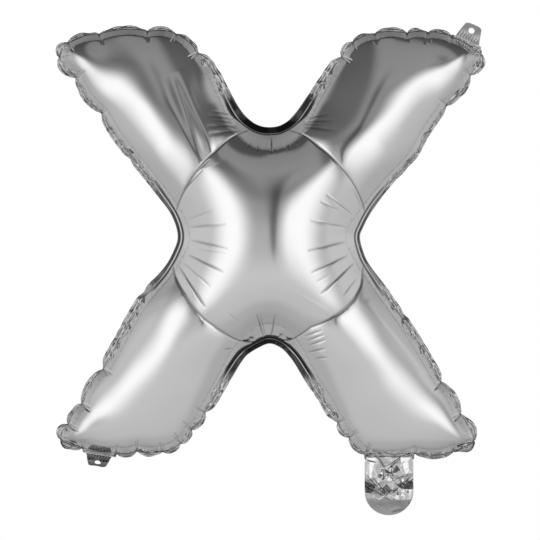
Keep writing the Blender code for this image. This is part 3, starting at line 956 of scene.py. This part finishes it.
def seat_pieces(rim):
    """The border's rim with the seats of the tail and both tabs, and which of its points they hold."""
    half = TAIL_ROOT_WIDTH / 2
    root = [(TAIL_AXIS[0] + half, TAIL_AXIS[2]), (TAIL_AXIS[0] - half, TAIL_AXIS[2])]
    held = np.zeros(len(rim), dtype=bool)
    for (first, last), margin in [(root, 2 * MM)] + [(metres(base), 0.5 * MM) for base in TAB_BASES]:
        rim, seated = seat_edge(rim, first, last, margin)
        held |= seated
    return rim, held


def on_outer_side(points, name):
    """Which points lie on an arm's side towards the left or right notch, not the top or bottom one."""
    run, outward = outward_side(name)
    return on_arm(points, run) & (points @ outward > 0)


def petal_places(places, pinch_places, period):
    """Where each place of the edge lies between its two pinches, from 0 to 1, and how far apart they are."""
    sorted_places = np.sort(pinch_places)
    after = np.searchsorted(sorted_places, places, side="right")
    before = sorted_places[after - 1]
    following = np.append(sorted_places, sorted_places[0] + period)[after]
    before = np.where(after == 0, sorted_places[-1] - period, before)
    return (places - before) / (following - before), following - before


def border_width(weld, share, span):
    """The border's width: rounded petals between close pinches, an even band round the notches."""
    bow = np.clip(4 * share * (1 - share), 0, 1) ** 0.7
    tips = np.linalg.norm(weld[:, None] - metres(TIPS)[None], axis=2).min(axis=1)
    full = PETAL_WIDTH - PINCH_WIDTH + TIP_PETAL * np.exp(-(tips / (13 * MM)) ** 2)
    petal = PINCH_WIDTH + full * bow
    wide = np.full(len(weld), BAND_WIDTH)
    for name, outer_width in OUTER_BANDS.items():
        wide[on_outer_side(weld, name)] = outer_width * MM
    wide = np.convolve(np.pad(wide, 30, mode="wrap"), np.ones(61) / 61, mode="valid")
    ends = np.minimum(share, 1 - share) * span
    band = PINCH_WIDTH + (wide - PINCH_WIDTH) * np.sqrt(smooth_step(ends, 0, 10 * MM))
    return np.where(span < BAND_SPAN, petal, band)


def notch_bands(weld, width):
    """The width with the notches' own bands, how loose the film is, and how much shade is painted on it."""
    painted_dark = np.zeros(len(weld))
    loose = np.ones(len(weld))
    for crotch, narrow, painted_band_shade in CROTCH_BANDS:
        apart = np.linalg.norm(weld - metres(crotch), axis=1)
        width = width + (narrow * MM - width) * smooth_step(apart, 50 * MM, 22 * MM)
        loose *= 1 - 0.97 * smooth_step(apart, 60 * MM, 40 * MM)
        painted_dark = np.maximum(painted_dark, painted_band_shade * smooth_step(apart, 58 * MM, 40 * MM))
    return width, loose, painted_dark


class Border:
    """The welded margin: petals between the pinches, folded along their length, and bands in the notches."""

    def __init__(self):
        generator = np.random.default_rng(21)
        loop = weld_loop()
        fractions = np.arange(BORDER_COUNT) / BORDER_COUNT
        self.weld = spread(closed(loop), fractions)
        self.normals = -inward_normals(self.weld)
        period = loop_length(loop)
        places = fractions * period
        pinches = metres([point for name in ARM_ORDER for point in ARMS[name]["pinches"]])
        _, pinch_places = nearest_on_loop(pinches, loop)
        petal, span = petal_places(places, pinch_places, period)
        width, self.loose, self.painted_dark = notch_bands(self.weld, border_width(self.weld, petal, span))
        level = self.normals[:, 1]
        tilt = smooth_step(np.abs(level), 0.45, 0.85) * np.sign(level)
        uneven = noise_line(generator, places, period, 24 * MM)
        self.outer, self.held = seat_pieces(self.weld + self.normals * width[:, None])
        self.lean = np.where(self.held, 0.0, -LEAN * tilt + uneven * LEAN_UNEVEN * self.loose)
        self.inner = self.weld - self.normals * BORDER_LAP
        self.run = np.linalg.norm(self.outer - self.weld, axis=1)
        amount = self.loose * np.where(self.held, 0.5, 1.0) * np.minimum(self.run, BAND_WIDTH)
        heights = [size * amount * (0.65 + 0.8 * noise_line(generator, places, period, 11 * MM))
                   for _, size in PETAL_FOLDS]
        grains = [PETAL_GRAIN * self.loose * noise_line(generator, places, period, 2.4 * MM) * (k > 0)
                  for k in range(len(PETAL_FOLDS))]
        self.folds = np.array([height + grain for height, grain in zip(heights, grains)])
        ends = np.minimum(petal, 1 - petal) * span
        self.ends = np.exp(-(ends / (1.6 * MM)) ** 2) * self.loose

    def reach(self, t):
        """How far outside the weld a row lies, and the same as a share of the width."""
        reach = t * (self.run + BORDER_LAP) - BORDER_LAP
        return reach, np.clip(reach / self.run, 0, 1)

    def row(self, t):
        """One row of points, from 0 at the lap under the sheets to 1 at the rim."""
        reach, share = self.reach(t)
        places = np.array([place for place, _ in PETAL_FOLDS])
        upper = np.clip(np.searchsorted(places, share, side="right"), 1, len(places) - 1)
        part = (share - places[upper - 1]) / (places[upper] - places[upper - 1])
        column = np.arange(BORDER_COUNT)
        fold_and_painted_shade = self.folds[upper - 1, column] * (1 - part) + self.folds[upper, column] * part
        bead = BEAD * np.exp(-((reach - 0.2 * MM) / (0.35 * MM)) ** 2) * (1 - self.loose)
        lip = LIP * smooth_step(share, 0.86, 1.0) * np.where(self.held, 0.0, 1.0)
        drawn_in = ((1 - np.cos(self.lean)) * share * self.run)[:, None]
        line = self.inner * (1 - t) + self.outer * t - self.normals * drawn_in
        y = -np.sin(self.lean) * share * self.run - fold_and_painted_shade - bead - lip
        return np.column_stack([line[:, 0], y, line[:, 1]])

    def shade(self, t):
        """How much shade is painted on a row: in the petals' valleys, at their ends and in the notches, and a
        dark line at the weld.
        """
        reach, share = self.reach(t)
        shade = np.zeros(BORDER_COUNT)
        for heights, (place, size) in zip(self.folds, PETAL_FOLDS):
            if size < 0:
                depth = np.clip(-heights / (0.35 * MM), 0, 1)
                line = np.exp(-((share - place) * self.run / (0.30 * MM)) ** 2)
                shade = np.maximum(shade, 0.95 * depth * line)
        shade = np.maximum(shade, 0.9 * self.ends)
        rim = 1 - 0.6 * smooth_step(share, 0.90, 0.97)
        band = self.painted_dark * smooth_step(reach, 0.2 * MM, 0.9 * MM) * rim
        at_weld = 0.55 * np.exp(-(reach / (0.5 * MM)) ** 2) * self.loose
        return np.maximum(np.maximum(shade, band), at_weld)


def build_border(material):
    """The border as one thin sheet."""
    border = Border()
    steps = [k / BORDER_CELLS for k in range(BORDER_CELLS + 1)]
    vertices = np.vstack([border.row(t) for t in steps])
    thing = mesh_object("welded_border", vertices, ring_faces(len(steps), BORDER_COUNT), material)
    shade_points(thing, np.concatenate([border.shade(t) for t in steps]))
    thicken(thing)
    return thing


def shade_points(thing, values):
    """Store the shade painted on each point, which its material mixes into the base colour."""
    shade = thing.data.attributes.new("fold_and_painted_shade", "FLOAT", "POINT")
    shade.data.foreach_set("value", values.astype(np.float32))


def thicken(thing):
    """Give an open sheet the film's thickness."""
    wall = thing.modifiers.new("Film", "SOLIDIFY")
    wall.thickness = FILM
    wall.offset = 0.0


def tab_outline():
    """The tab's edge above its base line, closed, in its own plane."""
    half_base, half_top = TAB_BASE / 2, TAB_TOP / 2
    right = [(half_base, 0.3 * MM), (half_base - 0.5 * MM, 2.5 * MM)]
    for angle in np.radians(np.linspace(0, 90, 9)):
        right.append((half_top - TAB_CORNER + (TAB_CORNER + MM) * math.cos(angle),
                      TAB_RISE - TAB_CORNER + TAB_CORNER * math.sin(angle)))
    return np.array(right + [(-x, y) for x, y in reversed(right)])


def build_tab(name, base, tilt, seed, painted_dark, material):
    """A hanging tab: a crinkled flap of film with a round hole, bent out of the border's plane."""
    generator = np.random.default_rng(seed)
    middle = np.array([0.0, TAB_HOLE_RISE])
    rim = spread(closed(tab_outline()), np.arange(TAB_SPOKES) / TAB_SPOKES)
    headings = np.arctan2(rim[:, 1] - middle[1], rim[:, 0] - middle[0])
    hole = middle + TAB_HOLE_RADIUS * np.column_stack([np.cos(headings), np.sin(headings)])
    flat = np.vstack([hole * (1 - t) + rim * t for t in np.linspace(0, 1, TAB_RINGS + 1)])
    x, rise = flat[:, 0], flat[:, 1]
    curl = TAB_CURL * (np.clip(rise - TAB_HOLE_RISE * 0.7, 0, None) / TAB_RISE) ** 2 * 4
    low = 1 - smooth_step(rise, 3 * MM, 8 * MM)
    zigzag = np.abs(((x / MM * 0.42 + 0.15 * np.sin(rise / MM * 0.9)) % 1) - 0.5)
    folds = zigzag * TAB_CRINKLE * low * smooth_step(rise, 0, 1.5 * MM)
    uneven = np.zeros(len(flat))
    for _ in range(4):
        across_wave, up_wave = x / MM * generator.uniform(0.2, 0.6), rise / MM * generator.uniform(-0.4, 0.4)
        uneven += np.sin(across_wave + up_wave + generator.uniform(0, 6))
    off = curl + folds + uneven * TAB_UNEVEN * smooth_step(rise, 0, 3 * MM)
    left, right = metres(base)
    run = (right - left) / np.linalg.norm(right - left)
    outward = np.array([-run[1], run[0]])
    out = rise * math.cos(tilt) + off * math.sin(tilt)
    spot = (left + right) / 2 + x[:, None] * run + out[:, None] * outward
    y = rise * math.sin(tilt) - off * math.cos(tilt)
    vertices = np.column_stack([spot[:, 0], y, spot[:, 1]])
    tab = mesh_object(name, vertices, ring_faces(TAB_RINGS + 1, TAB_SPOKES), material)
    # Painted shade: the whole tab is painted darker by a given amount, and more along its crinkles
    painted_crease_mask = smooth_step(zigzag, 0.2, 0.02) * low
    shade_points(tab, np.clip(painted_dark + TAB_CRINKLE_SHADE * painted_crease_mask, 0, 1))
    thicken(tab)
    return tab


def tail_grid(across, along):
    """The tail's grid: a straight root, two sides and a round end."""
    top = TAIL_AXIS[2] + TAIL_ROOT_LAP
    radius = TAIL_WIDTH / 2
    centre = TAIL_AXIS[2] - TAIL_LENGTH + radius
    root = np.array([(TAIL_AXIS[0] + side * TAIL_ROOT_WIDTH / 2, top) for side in (-1, 1)])
    arc = np.array([(TAIL_AXIS[0] - radius * math.cos(angle), centre - radius * math.sin(angle))
                    for angle in np.radians(np.linspace(45, 135, 61))])
    sides = []
    for side, corner in zip((-1, 1), root):
        side_points = [corner, (TAIL_AXIS[0] + side * radius, top - TAIL_NECK)]
        for angle in np.radians(np.linspace(0, 45, 31)):
            across_end = TAIL_AXIS[0] + side * radius * math.cos(angle)
            side_points.append((across_end, centre - radius * math.sin(angle)))
        sides.append(spread(np.array(side_points), np.linspace(0, 1, along + 1)))
    even = np.linspace(0, 1, across + 1)
    return patch(spread(root, even), spread(arc, even), sides[0], sides[1])


def small_knots(seed):
    """The small crumples between the tail's large facets, calmer at its round end and its shoulders."""
    generator = np.random.default_rng(seed)
    knots = []
    for y in np.arange(450, 522, CRUMPLE_SPACING):
        for x in np.arange(356, 422, CRUMPLE_SPACING):
            calm = 0.18 if y > 496 else 0.25 if x < 377 and y < 474 or x > 401 and y < 472 else 1.0
            place = [value + generator.uniform(-CRUMPLE_JITTER, CRUMPLE_JITTER) for value in (x, y)]
            knots.append((*place, generator.normal(0, TAIL_CRUMPLE) * calm))
    return knots


def facets(points, knots):
    """The height of flat facets drawn between knots."""
    corners = from_pixels([knot[:2] for knot in knots])
    heights = np.array([knot[2] for knot in knots]) * MM
    triangles = delaunay_2d_cdt([Vector(corner) for corner in corners], [], [], 0, 1e-7)[2]
    total = np.zeros(len(points))
    for a, b, c in triangles:
        frame_ab, frame_ac = corners[b] - corners[a], corners[c] - corners[a]
        area = frame_ab[0] * frame_ac[1] - frame_ab[1] * frame_ac[0]
        offset = points - corners[a]
        share_b = (offset[:, 0] * frame_ac[1] - offset[:, 1] * frame_ac[0]) / area
        share_c = (frame_ab[0] * offset[:, 1] - frame_ab[1] * offset[:, 0]) / area
        inside = (share_b >= -1e-9) & (share_c >= -1e-9) & (share_b + share_c <= 1 + 1e-9)
        height = heights[a] + share_b * (heights[b] - heights[a]) + share_c * (heights[c] - heights[a])
        total = np.where(inside, height, total)
    return total


def build_tail(name, side, material):
    """One film of the tail, which meets the letter's border at its root."""
    grid = tail_grid(*TAIL_CELLS)
    points, quads = join_grids([grid])
    loop = np.vstack([grid[0], grid[1:-1, -1], grid[-1, ::-1], grid[-2:0:-1, 0]])
    distance, _ = nearest_on_loop(points, loop)
    ply = TAIL_PLY * np.sqrt(np.clip(distance / (4 * MM), 0, 1)) + 0.06 * MM
    crumple = facets(points, TAIL_KNOTS) + facets(points, small_knots(5))
    shade = np.zeros(len(points))
    for start, end in TAIL_LINES:
        shade = np.maximum(shade, photo_groove(points, start, end, TAIL_LINE_WIDTH, arch(0.4)))
    y = side * ply - crumple + TAIL_LINE_DEPTH * shade * (side < 0)
    # Painted shadows: these places of the tail get painted shade, on top of its creases
    for start, end, half_width, painted_dark in TAIL_SHADOWS:
        shade = np.maximum(shade, painted_dark * photo_groove(points, start, end, half_width, arch(0.3)))
    vertices = np.column_stack([points[:, 0], y, points[:, 1]])
    faces = quads if side < 0 else quads[:, ::-1]
    tail = mesh_object(name, vertices, faces, material)
    shade_points(tail, 0.9 * shade)
    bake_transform(tail)
    return tail


def foil_material(name, shade, roughness, grain):
    """Aluminium-coated film: a mirror with a fine, uneven grain, darkened where shade is painted on it."""
    material = bpy.data.materials.new(name)
    material.use_nodes = True
    nodes, links = material.node_tree.nodes, material.node_tree.links
    clean = (shade, shade, shade * 1.01, 1.0)
    surface = nodes["Principled BSDF"]
    surface.inputs["Base Color"].default_value = clean
    surface.inputs["Metallic"].default_value = 1.0
    surface.inputs["Roughness"].default_value = roughness
    place = nodes.new("ShaderNodeTexCoord")
    noise = nodes.new("ShaderNodeTexNoise")
    noise.inputs["Scale"].default_value = GRAIN_SCALE
    noise.inputs["Detail"].default_value = 4.0
    bump = nodes.new("ShaderNodeBump")
    bump.inputs["Strength"].default_value = grain
    bump.inputs["Distance"].default_value = GRAIN_DEPTH
    links.new(place.outputs["Object"], noise.inputs["Vector"])
    links.new(noise.outputs["Fac"], bump.inputs["Height"])
    links.new(bump.outputs["Normal"], surface.inputs["Normal"])
    # Painted shade: the stored attribute mixes the base colour towards a dark grey
    fold_and_painted_shade = nodes.new("ShaderNodeAttribute")
    fold_and_painted_shade.attribute_name = "fold_and_painted_shade"
    painted_shade_mix = nodes.new("ShaderNodeMix")
    painted_shade_mix.data_type = "RGBA"
    painted_shade_mix.inputs[6].default_value = clean
    painted_shade_mix.inputs[7].default_value = (PAINTED_SHADE_GREY, PAINTED_SHADE_GREY, PAINTED_SHADE_GREY, 1.0)
    links.new(fold_and_painted_shade.outputs["Fac"], painted_shade_mix.inputs["Factor"])
    links.new(painted_shade_mix.outputs[2], surface.inputs["Base Color"])
    return material


def place_camera():
    """A long lens, level and square to the letter, framed as the photograph is."""
    aim_x = (IMAGE_MIDDLE[0] - ORIGIN_PIXEL[0]) * PIXEL
    aim_z = (ORIGIN_PIXEL[1] - IMAGE_MIDDLE[1]) * PIXEL
    data = bpy.data.cameras.new("camera")
    data.sensor_width = SENSOR * 1000
    data.lens = SENSOR * 1000 * CAMERA_DISTANCE / (IMAGE_SIZE * PIXEL)
    camera = bpy.data.objects.new("camera", data)
    camera.location = (aim_x, -CAMERA_DISTANCE, aim_z)
    camera.rotation_euler = (math.pi / 2, 0, 0)
    bpy.context.scene.collection.objects.link(camera)
    bpy.context.scene.camera = camera


def ramp_node(nodes, stops):
    """A colour ramp of greys from (place, grey) stops."""
    node = nodes.new("ShaderNodeValToRGB")
    node.color_ramp.interpolation = "EASE"
    elements = node.color_ramp.elements
    while len(elements) < len(stops):
        elements.new(0.5)
    for element, (place, grey) in zip(elements, stops):
        element.position = place
        element.color = (grey, grey, grey, 1.0)
    return node


def feed(tree, socket, value):
    """Give a socket a number, or link another socket to it."""
    if isinstance(value, (int, float)):
        socket.default_value = value
    else:
        tree.links.new(value, socket)


def maths(tree, operation, *values):
    """A math node, its inputs given as sockets or numbers. Returns its output."""
    node = tree.nodes.new("ShaderNodeMath")
    node.operation = operation
    for socket, value in zip(node.inputs, values):
        feed(tree, socket, value)
    return node.outputs[0]


def times(tree, *values):
    """The product of two values."""
    return maths(tree, "MULTIPLY", *values)


def edge(tree, value, zero_at, one_at):
    """Rises smoothly from 0 to 1 between two values, which may run either way."""
    node = tree.nodes.new("ShaderNodeMapRange")
    node.interpolation_type = "SMOOTHSTEP"
    node.inputs["From Min"].default_value = min(zero_at, one_at)
    node.inputs["From Max"].default_value = max(zero_at, one_at)
    node.inputs["To Min"].default_value = 0.0 if zero_at < one_at else 1.0
    node.inputs["To Max"].default_value = 1.0 if zero_at < one_at else 0.0
    tree.links.new(value, node.inputs["Value"])
    return node.outputs["Result"]


def window(tree, value, rise, fall):
    """1 between a rise and a fall, each given as the values where it starts and ends."""
    return times(tree, edge(tree, value, *rise), edge(tree, value, *reversed(fall)))


def blend(tree, share, low, high):
    """Mix two values."""
    node = tree.nodes.new("ShaderNodeMix")
    node.data_type = "FLOAT"
    tree.links.new(share, node.inputs["Factor"])
    feed(tree, node.inputs[2], low)
    feed(tree, node.inputs[3], high)
    return node.outputs[0]


def plain_levels(tree, height, aside):
    """The brightness by height alone, which changes from the front to the sides and the back."""
    share = maths(tree, "ADD", maths(tree, "DIVIDE", height, 180.0), 0.5)
    levels = []
    for stops in (AHEAD_LEVELS, SIDE_LEVELS, BEHIND_LEVELS):
        node = ramp_node(tree.nodes, [(degrees / 180 + 0.5, grey) for degrees, grey in stops])
        tree.links.new(share, node.inputs["Fac"])
        levels.append(node.outputs["Color"])
    high = times(tree, edge(tree, height, 24, 42), 26.0)
    level = blend(tree, edge(tree, maths(tree, "SUBTRACT", aside, high), 26, 46), levels[0], levels[1])
    return blend(tree, edge(tree, aside, 88, 112), level, levels[2])


def add_column(tree, level, turn, height):
    """The faint leaning column."""
    above = maths(tree, "SUBTRACT", height, COLUMN_MIDDLE)
    leaning = maths(tree, "ADD", turn, times(tree, above, COLUMN_LEAN))
    column = times(tree, window(tree, leaning, *COLUMN_TURN), window(tree, height, *COLUMN_HEIGHT))
    return maths(tree, "ADD", level, times(tree, column, COLUMN_LIGHT))


def add_panels(tree, level, turn, aside, height):
    """The two soft panels."""
    outward = maths(tree, "SUBTRACT", aside, PANEL_INNER)
    slope, dark_at, bright_at = PANEL_BOTTOM
    bottom = edge(tree, maths(tree, "ADD", height, times(tree, outward, slope)), dark_at, bright_at)
    for sides, (slope, dark_at, bright_at) in ((LEFT_PANEL, LEFT_PANEL_TOP), (RIGHT_PANEL, RIGHT_PANEL_TOP)):
        top = edge(tree, maths(tree, "SUBTRACT", height, times(tree, outward, slope)), dark_at, bright_at)
        panel = times(tree, window(tree, turn, *sides), times(tree, top, bottom))
        level = blend(tree, panel, level, PANEL_LIGHT)
    return level


def add_slit(tree, level, turn, height):
    """The dark slit."""
    off_middle = maths(tree, "ABSOLUTE", maths(tree, "SUBTRACT", turn, SLIT_MIDDLE))
    pointed = maths(tree, "SUBTRACT", height, times(tree, off_middle, SLIT_POINT))
    slit = times(tree, window(tree, turn, *SLIT_TURN), edge(tree, pointed, *SLIT_FOOT))
    slit = times(tree, slit, edge(tree, height, *SLIT_HEAD))
    return blend(tree, slit, level, times(tree, level, SLIT_DARK))


def light_studio():
    """A studio that is plain white to the camera and the floor, and in the foil has panels and dark sides."""
    world = bpy.data.worlds.new("studio")
    bpy.context.scene.world = world
    world.use_nodes = True
    tree = world.node_tree
    place = tree.nodes.new("ShaderNodeTexCoord")
    split = tree.nodes.new("ShaderNodeSeparateXYZ")
    tree.links.new(place.outputs["Generated"], split.inputs[0])
    ahead = times(tree, split.outputs["Y"], -1.0)
    turn = times(tree, maths(tree, "ARCTAN2", split.outputs["X"], ahead), 180 / math.pi)
    height = times(tree, maths(tree, "ARCSINE", split.outputs["Z"]), 180 / math.pi)
    aside = maths(tree, "ABSOLUTE", turn)
    level = add_column(tree, plain_levels(tree, height, aside), turn, height)
    level = add_panels(tree, level, turn, aside, height)
    level = add_slit(tree, level, turn, height)
    rays = tree.nodes.new("ShaderNodeLightPath")
    plain = maths(tree, "MAXIMUM", rays.outputs["Is Camera Ray"], rays.outputs["Is Diffuse Ray"])
    tree.links.new(blend(tree, plain, level, 1.0), tree.nodes["Background"].inputs["Color"])
    bpy.context.scene.view_settings.view_transform = "Standard"


def lay_floor():
    """A round, plain pale floor under the balloon, which hangs in the air."""
    data = bpy.data.meshes.new("floor")
    turns = [2 * math.pi * k / FLOOR_SIDES for k in range(FLOOR_SIDES)]
    rim = [(FLOOR_RADIUS * math.cos(turn), FLOOR_RADIUS * math.sin(turn), FLOOR_LEVEL) for turn in turns]
    data.from_pydata(rim, [], [tuple(range(FLOOR_SIDES))])
    floor = bpy.data.objects.new("floor", data)
    bpy.context.scene.collection.objects.link(floor)
    material = bpy.data.materials.new("floor")
    material.use_nodes = True
    surface = material.node_tree.nodes["Principled BSDF"]
    surface.inputs["Base Color"].default_value = (0.85, 0.85, 0.85, 1.0)
    surface.inputs["Roughness"].default_value = 0.9
    data.materials.append(material)
    floor.visible_glossy = False


def main():
    """Dress the frame."""
    place_camera()
    light_studio()
    lay_floor()
    silver = foil_material("silver_foil", 0.9, 0.09, 0.10)
    # The welded foil is the silver foil with its base colour painted darker, as painted shade
    welded = foil_material("welded_foil", 0.72, 0.08, 0.25)
    front = build_foil("front_foil_sheet", -1, FRONT_CELLS, silver)
    back = build_foil("back_foil_sheet", 1, BACK_CELLS, silver)
    border = build_border(welded)
    upper_tab = build_tab("upper_hanging_tab", TAB_BASES[0], TAB_TILTS[0], 31, 0.1, welded)
    lower_tab = build_tab("lower_hanging_tab", TAB_BASES[1], TAB_TILTS[1], 32, 0.7, welded)
    pieces = (
        (front, "front_foil", "silver_foil"), (back, "back_foil", "silver_foil"),
        (border, "seam_border", "welded_foil"), (upper_tab, "hang_tab_upper", "welded_foil"),
        (lower_tab, "hang_tab_lower", "welded_foil"),
    )
    for piece, node, slot in pieces:
        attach(piece, "letter")
        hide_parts(node)
    tails = (("tail_front_sheet", -1, "tail_front_film"), ("tail_back_sheet", 1, "tail_back_film"))
    for name, side, node in tails:
        tail = build_tail(name, side, silver)
        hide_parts(node)


main()
